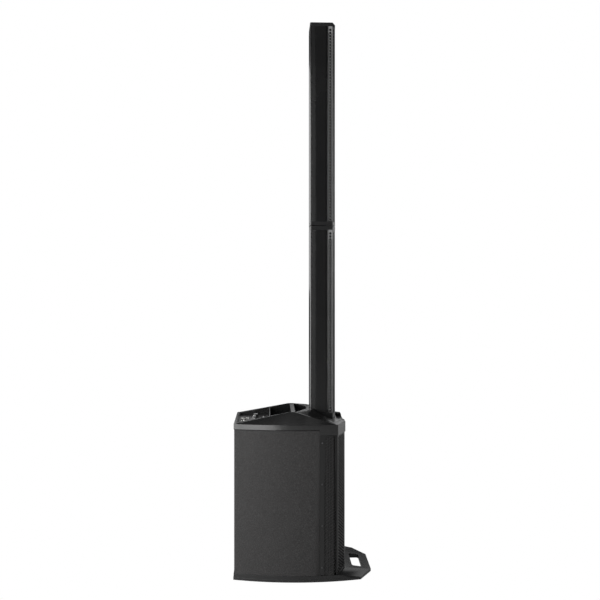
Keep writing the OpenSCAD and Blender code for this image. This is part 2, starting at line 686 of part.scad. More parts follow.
driver_r = 31;
baffle_w = col_w - 18.6;
head_room = 24;              // the drivers stay below the socket in a module's head
function driver_z(z0, z1) = [for (k = [0 : drivers - 1]) z0 + (k + 0.5) * (z1 - z0 - head_room) / drivers];
module column_baffle(z0, z1) color([0.05, 0.05, 0.05]) difference() {
    slab(z0, z1 - z0) translate([0, col_split + 3]) square([baffle_w, 5.4], center = true);
    for (z = driver_z(z0, z1)) rod(driver_r - 3, 60, [0, col_split, z], [90, 0, 0]);
}
module driver_turn(z) translate([0, col_split + 0.3, z]) rotate([-90, 0, 0]) rotate_extrude($fn = 48) children();
module driver_frames(z0, z1) color([0.2, 0.2, 0.2]) for (z = driver_z(z0, z1)) driver_turn(z) {
    difference() {
        union() {
            translate([driver_r - 6, -2]) square([6, 2]);
            translate([0, 24]) square([19, 13]);
            polygon([[driver_r - 6, -2], [driver_r - 4, -2], [driver_r - 4, 8], [19, 26], [15, 26], [driver_r - 6, 8]]);
        }
        translate([8.2, 23]) square([2.4, 10]);
    }
}
module driver_cones(z0, z1) color([0.06, 0.06, 0.06]) for (z = driver_z(z0, z1)) driver_turn(z) {
    polygon([[driver_r - 6.6, 0], [driver_r - 6.6, 1], [9.8, 12], [9.8, 27], [9, 27], [9, 11.5], [driver_r - 8, 0]]);
    translate([0, 9]) square([9.5, 1]);
}

module spigot(z) difference() {
    block(sock_in_w - 2 * slip, sock_in_d - 2 * slip, spigot_h, [0, sock_y, z - spigot_h / 2 + eps]);
    block(sock_in_w - 8, 12, 14, [0, sock_y, z - spigot_h + 4]);
}
module foot_cap(z0, t) color([0.06, 0.06, 0.06]) {
    slab(z0, t) col_plan(0.3);
    spigot(z0);
}
module head_cap(z1, t, open_top) color([0.06, 0.06, 0.06]) difference() {
    slab(z1 - t, t) col_plan(0.3);
    if (open_top) block(sock_in_w, sock_in_d, 3 * t, [0, sock_y, z1]);
}
// The socket of the lower module's head is a box that hangs down inside the housing
module head_socket(z1) color([0.06, 0.06, 0.06]) difference() {
    block(sock_w, sock_d, spigot_h + 6, [0, sock_y, z1 - (spigot_h + 6) / 2]);
    block(sock_in_w, sock_in_d, spigot_h + 3, [0, sock_y, z1 - (spigot_h + 3) / 2 + 1]);
}

lower_z0 = seat_z + foot_cap_t;
lower_z1 = lower_top - cap_t;
upper_z0 = upper_z + cap_t;
upper_z1 = total_h - cap_t;

module lower_housing() housing(lower_z0, lower_z1);
module lower_foot_cap() foot_cap(seat_z, foot_cap_t);
module lower_head_cap() {
    head_cap(lower_top, cap_t, true);
    head_socket(lower_top);
}
module lower_grille() column_grille(lower_z0, lower_z1);
module lower_baffle() column_baffle(lower_z0, lower_z1);
module lower_driver_frames() driver_frames(lower_z0, lower_z1);
module lower_driver_cones() driver_cones(lower_z0, lower_z1);
module upper_housing() housing(upper_z0, upper_z1);
module upper_foot_cap() {
    foot_cap(upper_z, cap_t);
    color([0.06, 0.06, 0.06]) block(sock_in_w, sock_in_d, joint_gap, [0, sock_y, upper_z - joint_gap / 2]);
}
module upper_head_cap() head_cap(total_h, cap_t, false);
module upper_grille() column_grille(upper_z0, upper_z1);
module upper_baffle() column_baffle(upper_z0, upper_z1);
module upper_driver_frames() driver_frames(upper_z0, upper_z1);
module upper_driver_cones() driver_cones(upper_z0, upper_z1);

base_plate();
rubber_feet();
foot_screws();
cabinet_shell();
cabinet_floor();
cabinet_roof();
baffle_board();
port_tubes();
sub_grille();
grille_foam();
grille_screws();
woofer_basket();
woofer_magnet();
woofer_cone();
woofer_dust_cap();
woofer_surround();
woofer_spider();
woofer_voice_coil();
woofer_screws();
amplifier_panel();
heat_sink();
amplifier_board();
mains_inlet();
rocker_frame();
power_rocker();
amplifier_screws();
top_cap();
handle_bar();
column_socket();
socket_contacts();
electronics_tub();
mixer_panel();
combo_jacks();
latch_tab(combo_at[0]);  // latch_tab_1
latch_tab(combo_at[1]);  // latch_tab_2
line_jacks();
link_output();
display_lens();
channel_knob(0);  // channel_knob_1
channel_knob(1);  // channel_knob_2
channel_knob(2);  // channel_knob_3
channel_knob(3);  // channel_knob_4
menu_encoder();
button(0);  // button_1
button(1);  // button_2
panel_screws();
lower_housing();
lower_foot_cap();
lower_head_cap();
lower_grille();
lower_baffle();
lower_driver_frames();
lower_driver_cones();
upper_housing();
upper_foot_cap();
upper_head_cap();
upper_grille();
upper_baffle();
upper_driver_frames();
upper_driver_cones();
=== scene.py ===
"""The looks of a column PA system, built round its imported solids. Metres, +Z up, the front is -Y."""
import math

import bmesh
import bpy
from mathutils import Matrix, Vector


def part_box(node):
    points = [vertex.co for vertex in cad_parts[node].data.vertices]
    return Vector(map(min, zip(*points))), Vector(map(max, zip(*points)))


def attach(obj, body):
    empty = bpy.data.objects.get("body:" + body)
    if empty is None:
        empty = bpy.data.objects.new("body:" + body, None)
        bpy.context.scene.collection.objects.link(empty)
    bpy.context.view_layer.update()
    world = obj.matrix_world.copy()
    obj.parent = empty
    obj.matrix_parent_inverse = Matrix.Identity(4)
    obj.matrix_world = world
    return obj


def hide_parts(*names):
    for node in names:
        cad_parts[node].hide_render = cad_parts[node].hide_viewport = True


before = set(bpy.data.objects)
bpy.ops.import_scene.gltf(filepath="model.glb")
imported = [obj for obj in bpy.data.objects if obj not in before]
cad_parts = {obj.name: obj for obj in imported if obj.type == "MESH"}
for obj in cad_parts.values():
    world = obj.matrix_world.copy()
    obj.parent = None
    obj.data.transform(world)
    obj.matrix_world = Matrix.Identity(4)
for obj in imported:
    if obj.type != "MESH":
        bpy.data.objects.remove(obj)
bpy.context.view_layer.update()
MM = 0.001

# ---- View ----------------------------------------------------------------------------------------
# A level camera stands off the left side, at about half the object's height, and is turned two degrees
# towards the front.
towards_front = math.radians(2.12)
camera = bpy.data.objects.new("camera", bpy.data.cameras.new("camera"))
camera.data.lens = 45.36
camera.location = (-2.808, 0.111, 0.985)
camera.rotation_euler = (math.pi / 2, 0, -math.pi / 2 - towards_front)
bpy.context.scene.collection.objects.link(camera)
bpy.context.scene.camera = camera

# ---- Studio --------------------------------------------------------------------------------------
# The camera sees a white wall and a white floor. A broad soft box at the rear left and a tall one near
# the camera do most of the lighting, and two weak ones lighten the front right and the top. A long weak
# panel on the far side is mirrored by the faces that slant away from the camera.
bpy.context.scene.view_settings.view_transform = "Standard"


def only_for_camera(tree, plain, seen, output):
    """Shows one shader to the camera and the other to every other ray."""
    ray, pick = tree.nodes.new("ShaderNodeLightPath"), tree.nodes.new("ShaderNodeMixShader")
    tree.links.new(ray.outputs["Is Camera Ray"], pick.inputs["Fac"])
    tree.links.new(plain.outputs[0], pick.inputs[1])
    tree.links.new(seen.outputs[0], pick.inputs[2])
    tree.links.new(pick.outputs[0], output.inputs["Surface"])


world = bpy.data.worlds.new("studio")
world.use_nodes = True
bpy.context.scene.world = world
room = world.node_tree
dark, white = room.nodes["Background"], room.nodes.new("ShaderNodeBackground")
dark.inputs["Color"].default_value = (0.95, 0.97, 1, 1)
dark.inputs["Strength"].default_value = 0.05
white.inputs["Color"].default_value = (1, 1, 1, 1)
white.inputs["Strength"].default_value = 1.0
only_for_camera(room, dark, white, room.nodes["World Output"])


def soft_box(name, at, look_at, width, height, radiance):
    """A rectangular lamp of even radiance that the camera doesn't see."""
    lamp = bpy.data.lights.new(name, "AREA")
    lamp.shape, lamp.size, lamp.size_y = "RECTANGLE", width, height
    lamp.energy = radiance * width * height * math.pi
    holder = bpy.data.objects.new(name, lamp)
    holder.location = at
    holder.rotation_euler = (Vector(look_at) - Vector(at)).to_track_quat("-Z", "Y").to_euler()
    holder.visible_camera = False
    bpy.context.scene.collection.objects.link(holder)


soft_box("rear_left_box", (-1.25, 2.7, 1.3), (0, 0, 0.8), 3.4, 2.6, 7.0)
soft_box("side_box", (-2.7, 1.2, 1.3), (0, 0, 0.8), 1.1, 2.6, 4.0)
soft_box("front_right_box", (1.9, -2.6, 1.0), (0, 0, 0.7), 0.9, 2.4, 1.6)
soft_box("far_wall", (2.6, -0.6, 1.85), (0, -0.6, 1.85), 6.0, 1.6, 0.8)
soft_box("overhead_box", (-0.8, 0.2, 4.0), (0, 0, 0), 3.0, 3.0, 1.2)

floor_mesh = bmesh.new()
bmesh.ops.create_circle(floor_mesh, cap_ends=True, segments=96, radius=9.0)
floor_data = bpy.data.meshes.new("floor")
floor_mesh.to_mesh(floor_data)
floor = bpy.data.objects.new("floor", floor_data)
bpy.context.scene.collection.objects.link(floor)
floor_paint = bpy.data.materials.new("studio_floor")
floor_paint.use_nodes = True
floor_tree = floor_paint.node_tree
floor_shader, floor_glow = floor_tree.nodes["Principled BSDF"], floor_tree.nodes.new("ShaderNodeEmission")
floor_shader.inputs["Base Color"].default_value = (0.3, 0.3, 0.3, 1)
floor_shader.inputs["Roughness"].default_value = 0.7
floor_shader.inputs["Emission Color"].default_value = (1, 1, 1, 1)
floor_shader.inputs["Emission Strength"].default_value = 0.2
floor_glow.inputs["Strength"].default_value = 1.0
only_for_camera(floor_tree, floor_shader, floor_glow, floor_tree.nodes["Material Output"])
floor_data.materials.append(floor_paint)

# ---- Base plate ----------------------------------------------------------------------------------
# One thick plate of satin black plastic, moulded with a fine grain. Its front foot sticks out and has
# a hand hole, and a long chamfer runs round its top edge.


def grain_group():
    """Fine moulded or sprayed grain, as a height, with slow changes of shade and gloss."""
    group = bpy.data.node_groups.new("surface_grain", "ShaderNodeTree")
    face = group.interface
    for name, kind, value in (("Base Color", "NodeSocketColor", (0.05, 0.05, 0.05, 1)),
                              ("Grain Size", "NodeSocketFloat", 0.8), ("Mottle", "NodeSocketFloat", 0.15),
                              ("Roughness", "NodeSocketFloat", 0.4), ("Speckle", "NodeSocketFloat", 0.0)):
        face.new_socket(name=name, in_out="INPUT", socket_type=kind).default_value = value
    for name, kind in (("Color", "NodeSocketColor"), ("Roughness", "NodeSocketFloat"),
                       ("Height", "NodeSocketFloat")):
        face.new_socket(name=name, in_out="OUTPUT", socket_type=kind)
    add, wire = group.nodes.new, group.links.new
    given, result = add("NodeGroupInput"), add("NodeGroupOutput")
    place = add("ShaderNodeTexCoord")
    density = add("ShaderNodeMath")
    density.operation = "DIVIDE"
    density.inputs[0].default_value = 1 / MM
    wire(given.outputs["Grain Size"], density.inputs[1])
    fine = add("ShaderNodeTexNoise")
    fine.inputs["Detail"].default_value = 3
    wire(place.outputs["Object"], fine.inputs["Vector"])
    wire(density.outputs[0], fine.inputs["Scale"])
    slow = add("ShaderNodeTexNoise")
    slow.inputs["Scale"].default_value = 9
    slow.inputs["Detail"].default_value = 6
    wire(place.outputs["Object"], slow.inputs["Vector"])
    shade = add("ShaderNodeMath")
    shade.operation = "MULTIPLY_ADD"
    wire(slow.outputs["Fac"], shade.inputs[0])
    wire(given.outputs["Mottle"], shade.inputs[1])
    shade.inputs[2].default_value = 1
    spot = add("ShaderNodeMapRange")
    spot.inputs["From Min"].default_value = 0.45
    spot.inputs["From Max"].default_value = 0.62
    wire(fine.outputs["Fac"], spot.inputs["Value"])
    spotted = add("ShaderNodeMath")
    spotted.operation = "MULTIPLY_ADD"
    wire(spot.outputs["Result"], spotted.inputs[0])
    wire(given.outputs["Speckle"], spotted.inputs[1])
    wire(shade.outputs[0], spotted.inputs[2])
    tint = add("ShaderNodeVectorMath")
    tint.operation = "SCALE"
    wire(given.outputs["Base Color"], tint.inputs[0])
    wire(spotted.outputs[0], tint.inputs["Scale"])
    wire(tint.outputs["Vector"], result.inputs["Color"])
    gloss = add("ShaderNodeMath")
    gloss.operation = "MULTIPLY_ADD"
    gloss_drift = 0.08
    wire(slow.outputs["Fac"], gloss.inputs[0])
    gloss.inputs[1].default_value = gloss_drift
    wire(given.outputs["Roughness"], gloss.inputs[2])
    wire(gloss.outputs[0], result.inputs["Roughness"])
    wire(fine.outputs["Fac"], result.inputs["Height"])
    return group


GRAIN = grain_group()


def grained(name, color, roughness=0.4, grain=0.8, mottle=0.2, speckle=0.0, bump=0.25, depth=0.1,
            metallic=0.0, specular=0.5):
    """A material with the shared grain; grain and depth are its size and its height in millimetres."""
    material = bpy.data.materials.new(name)
    material.use_nodes = True
    tree = material.node_tree
    shader = tree.nodes["Principled BSDF"]
    shader.inputs["Metallic"].default_value = metallic
    shader.inputs["Specular IOR Level"].default_value = specular
    group = tree.nodes.new("ShaderNodeGroup")
    group.node_tree = GRAIN
    group.inputs["Base Color"].default_value = (*color, 1)
    group.inputs["Grain Size"].default_value = grain
    group.inputs["Mottle"].default_value = mottle
    group.inputs["Roughness"].default_value = roughness
    group.inputs["Speckle"].default_value = speckle
    relief = tree.nodes.new("ShaderNodeBump")
    relief.inputs["Strength"].default_value = bump
    relief.inputs["Distance"].default_value = depth * MM
    tree.links.new(group.outputs["Height"], relief.inputs["Height"])
    tree.links.new(group.outputs["Color"], shader.inputs["Base Color"])
    tree.links.new(group.outputs["Roughness"], shader.inputs["Roughness"])
    tree.links.new(relief.outputs["Normal"], shader.inputs["Normal"])
    return material


def dress(node, material):
    """Gives a CAD node's own mesh a material."""
    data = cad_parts[node].data
    data.materials.clear()
    data.materials.append(material)


def shown(name, data, material, body, *replaced):
    """Puts a finished mesh on its body."""
    piece = bpy.data.objects.new(name, data)
    bpy.context.scene.collection.objects.link(piece)
    data.materials.append(material)
    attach(piece, body)
    if replaced:
        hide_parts(*replaced)
    return piece


def softened(node, material, body, radius=0.8, steps=2, angle=28):
    """The node's shape with its hard edges rounded over by radius, in millimetres. Edges count as hard
    where the faces meet at more than angle, in degrees."""
    same_place, same_plane = 1e-6, math.radians(0.3)
    mesh = bmesh.new()
    mesh.from_mesh(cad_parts[node].data)
    bmesh.ops.remove_doubles(mesh, verts=mesh.verts, dist=same_place)
    bmesh.ops.dissolve_limit(mesh, angle_limit=same_plane, verts=mesh.verts, edges=mesh.edges)
    data = bpy.data.meshes.new(node + "_softened")
    mesh.to_mesh(data)
    mesh.free()
    piece = shown(node + "_softened", data, material, body, node)
    edge = piece.modifiers.new("edge", "BEVEL")
    edge.width, edge.segments, edge.limit_method = radius * MM, steps, "ANGLE"
    edge.angle_limit = math.radians(angle)
    edge.harden_normals = True
    for polygon in data.polygons:
        polygon.use_smooth = True
    data.set_sharp_from_angle(angle=math.radians(angle))
    return piece


plate_plastic = grained("plate_plastic", (0.006, 0.006, 0.0062), roughness=0.24, grain=0.7, bump=0.15)
softened("base_plate", plate_plastic, "subwoofer", radius=1.8, steps=3)

# ---- Feet ----------------------------------------------------------------------------------------
# Six moulded rubber buttons keep the plate off the floor. They are let into its underside, and each is
# held by a steel screw up through its middle.
foot_rubber = grained("foot_rubber", (0.018, 0.018, 0.018), roughness=0.75, grain=1.5, bump=0.4)
softened("rubber_feet", foot_rubber, "subwoofer", radius=0.6)
black_oxide = grained("black_oxide", (0.05, 0.05, 0.052), roughness=0.35, grain=0.4, bump=0.1,
                      metallic=0.8)
dress("foot_screws", black_oxide)

# ---- Cabinet -------------------------------------------------------------------------------------
# A wrap of bent plywood round a floor, a roof and a front board, glued up and sprayed all over with a
# tough black paint that dries in fine beads. The floor and the roof stay bare.
bead_paint = grained("bead_paint", (0.0194, 0.0189, 0.0189), roughness=0.58, grain=2.1, mottle=0.2,
                     speckle=1.0, bump=0.8, depth=0.5, specular=0.12)
softened("cabinet_shell", bead_paint, "subwoofer", radius=1.0)
bare_ply = grained("bare_ply", (0.42, 0.31, 0.19), roughness=0.6, grain=3, mottle=0.5)
for node in ("cabinet_floor", "cabinet_roof"):
    dress(node, bare_ply)
dress("baffle_board", grained("baffle_paint", (0.02, 0.02, 0.02), roughness=0.7))

# ---- Port tubes ----------------------------------------------------------------------------------
# Two tubes moulded in black plastic, fixed in the front board under the woofer. The grille and its foam
# hide them.
moulded_black = grained("moulded_black", (0.006, 0.006, 0.0062), roughness=0.28, grain=0.6)
softened("port_tubes", moulded_black, "subwoofer", radius=1.0)

# ---- Subwoofer grille ----------------------------------------------------------------------------
# Steel sheet, punched with hexagons, folded round the front and powder coated black. Its plain flanges
# lie in a rebate of the cabinet's sides, with four screws in each.
grille_low, grille_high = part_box("sub_grille")


def punched_sheet(name, path, low, high, punched, pitch, column, open_share, edge):
    """A folded sheet whose plan follows path, from low to high. Between the path points that each pair
    in punched names it has hexagonal holes, pitch apart up and down and column apart along the sheet.
    open_share is a hole's width over that of its cell, and edge is the least border round the cells."""
    tiny = 1e-6
    sixths = [math.radians(60 * k) for k in range(6)]
    along = [0.0]
    for a, b in zip(path, path[1:]):
        along.append(along[-1] + (Vector(b) - Vector(a)).length)

    def place(s, z):
        k = max(i for i in range(len(path) - 1) if along[i] <= s + 1e-9)
        share = (s - along[k]) / (along[k + 1] - along[k])
        x = path[k][0] + share * (path[k + 1][0] - path[k][0])
        y = path[k][1] + share * (path[k + 1][1] - path[k][1])
        return (x, y, z)

    mesh = bmesh.new()
    grid = {}

    def corner(s, z):
        steps_per_metre = 1e5
        key = (round(s * steps_per_metre), round(z * steps_per_metre))
        if key not in grid:
            grid[key] = mesh.verts.new((s, z, 0))
        return grid[key]

    inside = set()
    for first, last in punched:
        inside.update(range(first, last))
        s0, s1 = along[first], along[last]
        count = max(1, int((s1 - s0 - 2 * edge) / column - 1 / 3))
        rows = int((high - low - 2 * edge - pitch / 2) / pitch)
        start_s = (s0 + s1 - (count - 1) * column) / 2
        start_z = (low + high - (rows - 0.5) * pitch) / 2
        half, rim = min(column * 2 / 3, (s1 - s0) / 2 - edge), pitch / math.sqrt(3)
        for i in range(count):
            for j in range(rows):
                cs = start_s + i * column
                cz = start_z + (j + 0.5 * (i % 2)) * pitch
                outer = [corner(cs + half * math.cos(a), cz + rim * math.sin(a)) for a in sixths]
                inner = [mesh.verts.new((cs + open_share * half * math.cos(a),
                                         cz + open_share * rim * math.sin(a), 0)) for a in sixths]
                for k in range(6):
                    n = (k + 1) % 6
                    mesh.faces.new((outer[k], outer[n], inner[n], inner[k]))
        outer_corners = set(grid.values())
        rest = [e for e in mesh.edges if len(e.link_faces) == 1 and all(
            s0 - tiny <= v.co.x <= s1 + tiny and v in outer_corners for v in e.verts)]
        frame_corners = [corner(s0, low), corner(s1, low), corner(s1, high), corner(s0, high)]
        rest += [mesh.edges.get((a, b)) or mesh.edges.new((a, b))
                 for a, b in zip(frame_corners, frame_corners[1:] + frame_corners[:1])]
        bmesh.ops.triangle_fill(mesh, edges=rest, use_beauty=True, use_dissolve=False)
    for k in range(len(path) - 1):
        if k not in inside:
            mesh.faces.new((corner(along[k], low), corner(along[k + 1], low),
                            corner(along[k + 1], high), corner(along[k], high)))
    for face in mesh.faces:
        face.normal_update()
        if face.normal.z < 0:
            face.normal_flip()
    for v in mesh.verts:
        v.co = place(v.co.x, v.co.y)
    data = bpy.data.meshes.new(name)
    mesh.to_mesh(data)
    mesh.free()
    return data


bow_radius, half_width = 0.845, 0.183


def bowed(y, inset):
    """Half the width of the cabinet between its bowed sides at y, less inset, in metres."""
    return math.sqrt((bow_radius - inset) ** 2 - y * y) - (bow_radius - half_width)


def rounded_fold(at, into, out, bend, shares):
    """Points round a fold of the sheet at a corner of its plan. The unit vectors into and out are its
    directions before and after the corner, and the fold starts and ends at bend from the corner."""
    at = Vector(at)
    start, end = at - into * bend, at + out * bend
    return [tuple((1 - t) ** 2 * start + 2 * t * (1 - t) * at + t * t * end) for t in shares]


def thickened(sheet, gauge, offset=-1):
    """Makes a drawn face a sheet of that gauge: behind the face, or on both sides of it at offset 0."""
    skin = sheet.modifiers.new("gauge", "SOLIDIFY")
    skin.thickness, skin.offset = gauge, offset


# the left half of the plan: down the bowed side, over the slanted face and on to the flat front
sheet_inset, sheet_bend, flange_width = 0.0034, 0.004, 0.0155
side_end, nose_half, side_steps = -0.1176, 0.094, 8
depths = [grille_high.y + (side_end - grille_high.y) * k / side_steps for k in range(side_steps + 1)]
side = [(-bowed(y, sheet_inset), y) for y in depths]
knee = Vector((-nose_half, grille_low.y))
heading = (Vector(side[-1]) - Vector(side[-2])).normalized()
slant = (knee - Vector(side[-1])).normalized()
quarters = (0, 0.25, 0.5, 0.75, 1)
flange = grille_high.y - flange_width
holes_start = (-bowed(flange, sheet_inset), flange)
left = [p for p in side[:-1] if p[1] > flange] + [holes_start]
left += [p for p in side[:-1] if p[1] < flange - MM]
first_fold = len(left)
left += rounded_fold(side[-1], heading, slant, sheet_bend, quarters)
slanted = len(left) - 1
left += rounded_fold(knee, slant, Vector((1, 0)), sheet_bend, quarters)
path = left + [(-x, y) for x, y in reversed(left)]
last = len(path) - 1
spans = [(left.index(holes_start), first_fold), (slanted, slanted + 1), (len(left) - 1, len(left))]
spans += [(last - b, last - a) for a, b in spans[:2]]
grille_data = punched_sheet("sub_grille_sheet", path, grille_low.z, grille_high.z, sorted(spans),
                            pitch=0.0106, column=0.0092, open_share=0.78, edge=0.0006)
grille_coat = grained("grille_coat", (0.011, 0.011, 0.011), roughness=0.3, grain=0.5, bump=0.12,
                      specular=0.35)
sub_sheet = shown("sub_grille_sheet", grille_data, grille_coat, "subwoofer", "sub_grille")
thickened(sub_sheet, gauge=0.0014)

# ---- Foam ----------------------------------------------------------------------------------------
# A sheet of open-cell black foam that lies behind the grille. It keeps dust out and hides the woofer and
# the ports.
foam_black = grained("foam_black", (0.004, 0.004, 0.004), roughness=0.9, grain=2.5, bump=0.8, depth=0.8,
                     specular=0.1)
dress("grille_foam", foam_black)

# ---- Grille screws -------------------------------------------------------------------------------
# Black oxide steel screws with pan heads and hexagon sockets, four down each flange of the grille. They
# go into the cabinet's sides.


def turned(profile, sockets=(), segments=24):
    """A turned shape about +Z. profile holds (radius, height) rings in millimetres, from the bottom
    middle to the top middle, or once round a part with a bore. Rings numbered in sockets are hexagons."""
    mesh = bmesh.new()
    rings = []
    for index, (radius, height) in enumerate(profile):
        if radius == 0:
            rings.append([mesh.verts.new((0, 0, height * MM))])
            continue
        ring = []
        for k in range(segments):
            angle = math.tau * k / segments
            r = radius
            if index in sockets:
                off_flat = (angle + math.pi / 6) % (math.pi / 3) - math.pi / 6
                r = radius * math.cos(math.pi / 6) / math.cos(off_flat)
            ring.append(mesh.verts.new((r * MM * math.cos(angle), r * MM * math.sin(angle), height * MM)))
        rings.append(ring)
    for low, high in zip(rings, rings[1:]):
        for k in range(segments):
            m = (k + 1) % segments
            if len(low) == 1 and len(high) > 1:
                mesh.faces.new((low[0], high[m], high[k]))
            elif len(high) == 1 and len(low) > 1:
                mesh.faces.new((low[k], low[m], high[0]))
            elif len(low) > 1:
                mesh.faces.new((low[k], low[m], high[m], high[k]))
    return mesh


def spread(name, mesh, places, material, body, *replaced):
    """Copies one small shape to each matrix in places, as a single piece."""
    data = bpy.data.meshes.new(name)
    whole = bmesh.new()
    for matrix in places:
        part = mesh.copy()
        bmesh.ops.transform(part, matrix=matrix, verts=part.verts)
        scratch = bpy.data.meshes.new("scratch")
        part.to_mesh(scratch)
        whole.from_mesh(scratch)
        bpy.data.meshes.remove(scratch)
        part.free()
    whole.to_mesh(data)
    whole.free()
    for polygon in data.polygons:
        polygon.use_smooth = True
    data.set_sharp_from_angle(angle=math.radians(35))
    return shown(name, data, material, body, *replaced)


def standing(at, direction):
    """A matrix that stands a +Z shape at a point, along a direction."""
    return Matrix.Translation(at) @ Vector(direction).to_track_quat("Z", "Y").to_matrix().to_4x4()


pan_head = turned([(0, -6), (1.5, -6), (1.5, 0.1), (3.4, 0.1), (3.4, 0.7), (3.0, 1.4), (2.3, 1.8),
                   (1.5, 1.85), (1.5, 0.7), (0, 0.6)], sockets=(8,))
head_radius, screws_a_side = 0.0034, 4
screw_low, screw_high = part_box("grille_screws")
screw_y = (screw_low.y + screw_high.y) / 2
rise = screw_high.z - screw_low.z - 2 * head_radius
rows = [screw_low.z + head_radius + k * rise / (screws_a_side - 1) for k in range(screws_a_side)]
places = []
for sign in (-1, 1):
    angle = math.asin(screw_y / bow_radius)
    out = Vector((sign * math.cos(angle), math.sin(angle), 0))
    foot = Vector((-sign * (bow_radius - half_width), 0, 0)) + out * (bow_radius - sheet_inset)
    places += [standing(foot + Vector((0, 0, z)), out) for z in rows]
spread("grille_screw_heads", pan_head, places, black_oxide, "subwoofer", "grille_screws")

# ---- Woofer --------------------------------------------------------------------------------------
# A pressed-steel basket with a ferrite magnet. Its paper cone and dust cap ride on a rubber surround,
# a resin-dipped cloth spider and a copper voice coil.
basket_black = grained("basket_black", (0.03, 0.03, 0.03), roughness=0.4, grain=0.6)
dress("woofer_basket", basket_black)
dress("woofer_screws", black_oxide)
dress("woofer_magnet", grained("ferrite", (0.06, 0.06, 0.062), roughness=0.6, grain=1.2, mottle=0.4))
pressed_paper = grained("pressed_paper", (0.02, 0.02, 0.02), roughness=0.75, grain=2.2, mottle=0.4,
                        bump=0.5, depth=0.3)
for node in ("woofer_cone", "woofer_dust_cap"):
    dress(node, pressed_paper)
surround_rubber = grained("surround_rubber", (0.012, 0.012, 0.012), roughness=0.6, grain=1.0)
dress("woofer_surround", surround_rubber)
spider_cloth = grained("spider_cloth", (0.33, 0.22, 0.09), roughness=0.8, grain=1.0, mottle=0.5, bump=0.6)
dress("woofer_spider", spider_cloth)
coil_copper = grained("coil_copper", (0.7, 0.36, 0.16), roughness=0.3, grain=0.4, metallic=1.0)
dress("woofer_voice_coil", coil_copper)

# ---- Amplifier -----------------------------------------------------------------------------------
# A flat steel panel screwed into the cabinet's rear, powder coated, with a finned heat sink, the mains
# inlet and the power switch. The circuit board stands on its inner side.
amp_coat = grained("amp_coat", (0.035, 0.035, 0.036), roughness=0.5, grain=0.9, bump=0.5, depth=0.2)
softened("amplifier_panel", amp_coat, "subwoofer", radius=0.5)
sink_anodised = grained("sink_anodised", (0.03, 0.03, 0.032), roughness=0.35, grain=0.4, metallic=0.7)
softened("heat_sink", sink_anodised, "subwoofer", radius=0.4)
dress("amplifier_board", grained("solder_mask", (0.01, 0.09, 0.04), roughness=0.35, grain=1.5))
softened("mains_inlet", moulded_black, "subwoofer", radius=0.5)
softened("rocker_frame", moulded_black, "subwoofer", radius=0.4)
rocker_red = grained("rocker_red", (0.28, 0.012, 0.01), roughness=0.25, grain=0.5, bump=0.1)
softened("power_rocker", rocker_red, "power_rocker", radius=0.5)
softened("amplifier_screws", black_oxide, "subwoofer", radius=0.3)

# ---- Top cap -------------------------------------------------------------------------------------
# An injection moulding in satin black, with an upright band, sloping shoulders and a recess for the
# mixer. The handle's bar and the seat that the column stands in are fixed in it. A near-black foam strip
# under its band is painted shade, standing for the shadow in the gap between the cap and the cabinet.
cap_plastic = grained("cap_plastic", (0.005, 0.005, 0.005), roughness=0.17, grain=0.6, mottle=0.2,
                      bump=0.12, specular=0.9)
softened("top_cap", cap_plastic, "subwoofer", radius=1.2, steps=3, angle=9)
softened("handle_bar", cap_plastic, "subwoofer", radius=1.5, steps=3)


def band(name, path, low, high, gauge, material, body):
    """An upright strip of the given gauge, whose plan follows path, from low to high."""
    mesh = bmesh.new()
    edges = [[mesh.verts.new((x, y, z)) for x, y in path] for z in (low, high)]
    for k in range(len(path) - 1):
        mesh.faces.new((edges[0][k], edges[0][k + 1], edges[1][k + 1], edges[1][k]))
    data = bpy.data.meshes.new(name)
    mesh.to_mesh(data)
    mesh.free()
    thickened(shown(name, data, material, body), gauge, offset=0)


# painted shade: a foam strip fills the gap between the cabinet's top edge and the cap's band, behind the
# grille
shell_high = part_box("cabinet_shell")[1]
shade_strip_inset, shade_strip_gauge = 0.0028, 1.0 * MM
shade_strip_front, shade_strip_length, shade_strip_steps = -0.054, shell_high.y + 0.0542, 16
shade_strip_depths = [shade_strip_front + shade_strip_length * k / shade_strip_steps for k in range(shade_strip_steps + 1)]
shade_strip_plan = [(-bowed(y, shade_strip_inset), y) for y in shade_strip_depths]
shade_strip_plan += [(-x, y) for x, y in reversed(shade_strip_plan)]
shade_strip_low, shade_strip_high = shell_high.z + 0.1 * MM, shell_high.z + 2.3 * MM
band("cap_shade_strip", shade_strip_plan, shade_strip_low, shade_strip_high, shade_strip_gauge, foam_black, "subwoofer")
softened("column_socket", moulded_black, "subwoofer", radius=0.5)
gilt = grained("gilt", (0.8, 0.56, 0.2), roughness=0.25, grain=0.4, metallic=1.0)
dress("socket_contacts", gilt)
dress("electronics_tub", amp_coat)

# ---- Mixer panel ---------------------------------------------------------------------------------
# A dark steel panel screwed down at its corners. White marks are printed round each channel knob, and a
# frame of the same ink runs round the display.
panel_coat = grained("panel_coat", (0.018, 0.0175, 0.018), roughness=0.4, grain=0.6)
softened("mixer_panel", panel_coat, "subwoofer", radius=0.4)
white_ink = grained("white_ink", (0.7, 0.7, 0.68), roughness=0.6, grain=0.5, bump=0.1)
knobs = ["channel_knob_%d" % k for k in (1, 2, 3, 4)] + ["menu_encoder"]
panel_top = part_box("mixer_panel")[1].z


def middle(node):
    """The middle of a node, on the panel's top face."""
    low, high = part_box(node)
    return Vector(((low.x + high.x) / 2, (low.y + high.y) / 2, panel_top))


